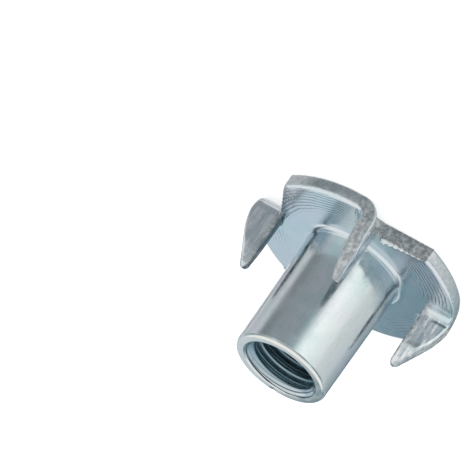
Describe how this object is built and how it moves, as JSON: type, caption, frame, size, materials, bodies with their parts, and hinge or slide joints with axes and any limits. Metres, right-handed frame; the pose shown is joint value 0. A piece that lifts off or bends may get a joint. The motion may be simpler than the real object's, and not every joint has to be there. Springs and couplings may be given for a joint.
{
  "type": "tee nut",
  "caption": "Flanged nut with a drawn, internally threaded barrel and prongs lanced from the flange rim and folded up, to be driven into wood.",
  "frame": {"origin": "on the axis of the hole, in the plane of the flange's flat outer face", "axes": "+Z along the barrel, from the flange's outer face to the barrel's open end; +X square to the line along which one of the prongs was sheared from the flange"},
  "size_m": [0.0218, 0.0218, 0.0149],
  "materials": {
    "zinc": "bright zinc plate over cold-formed steel, faintly blue"
  },
  "bodies": {
    "root": {"tee_nut": "zinc"}
  },
  "joints": []
}
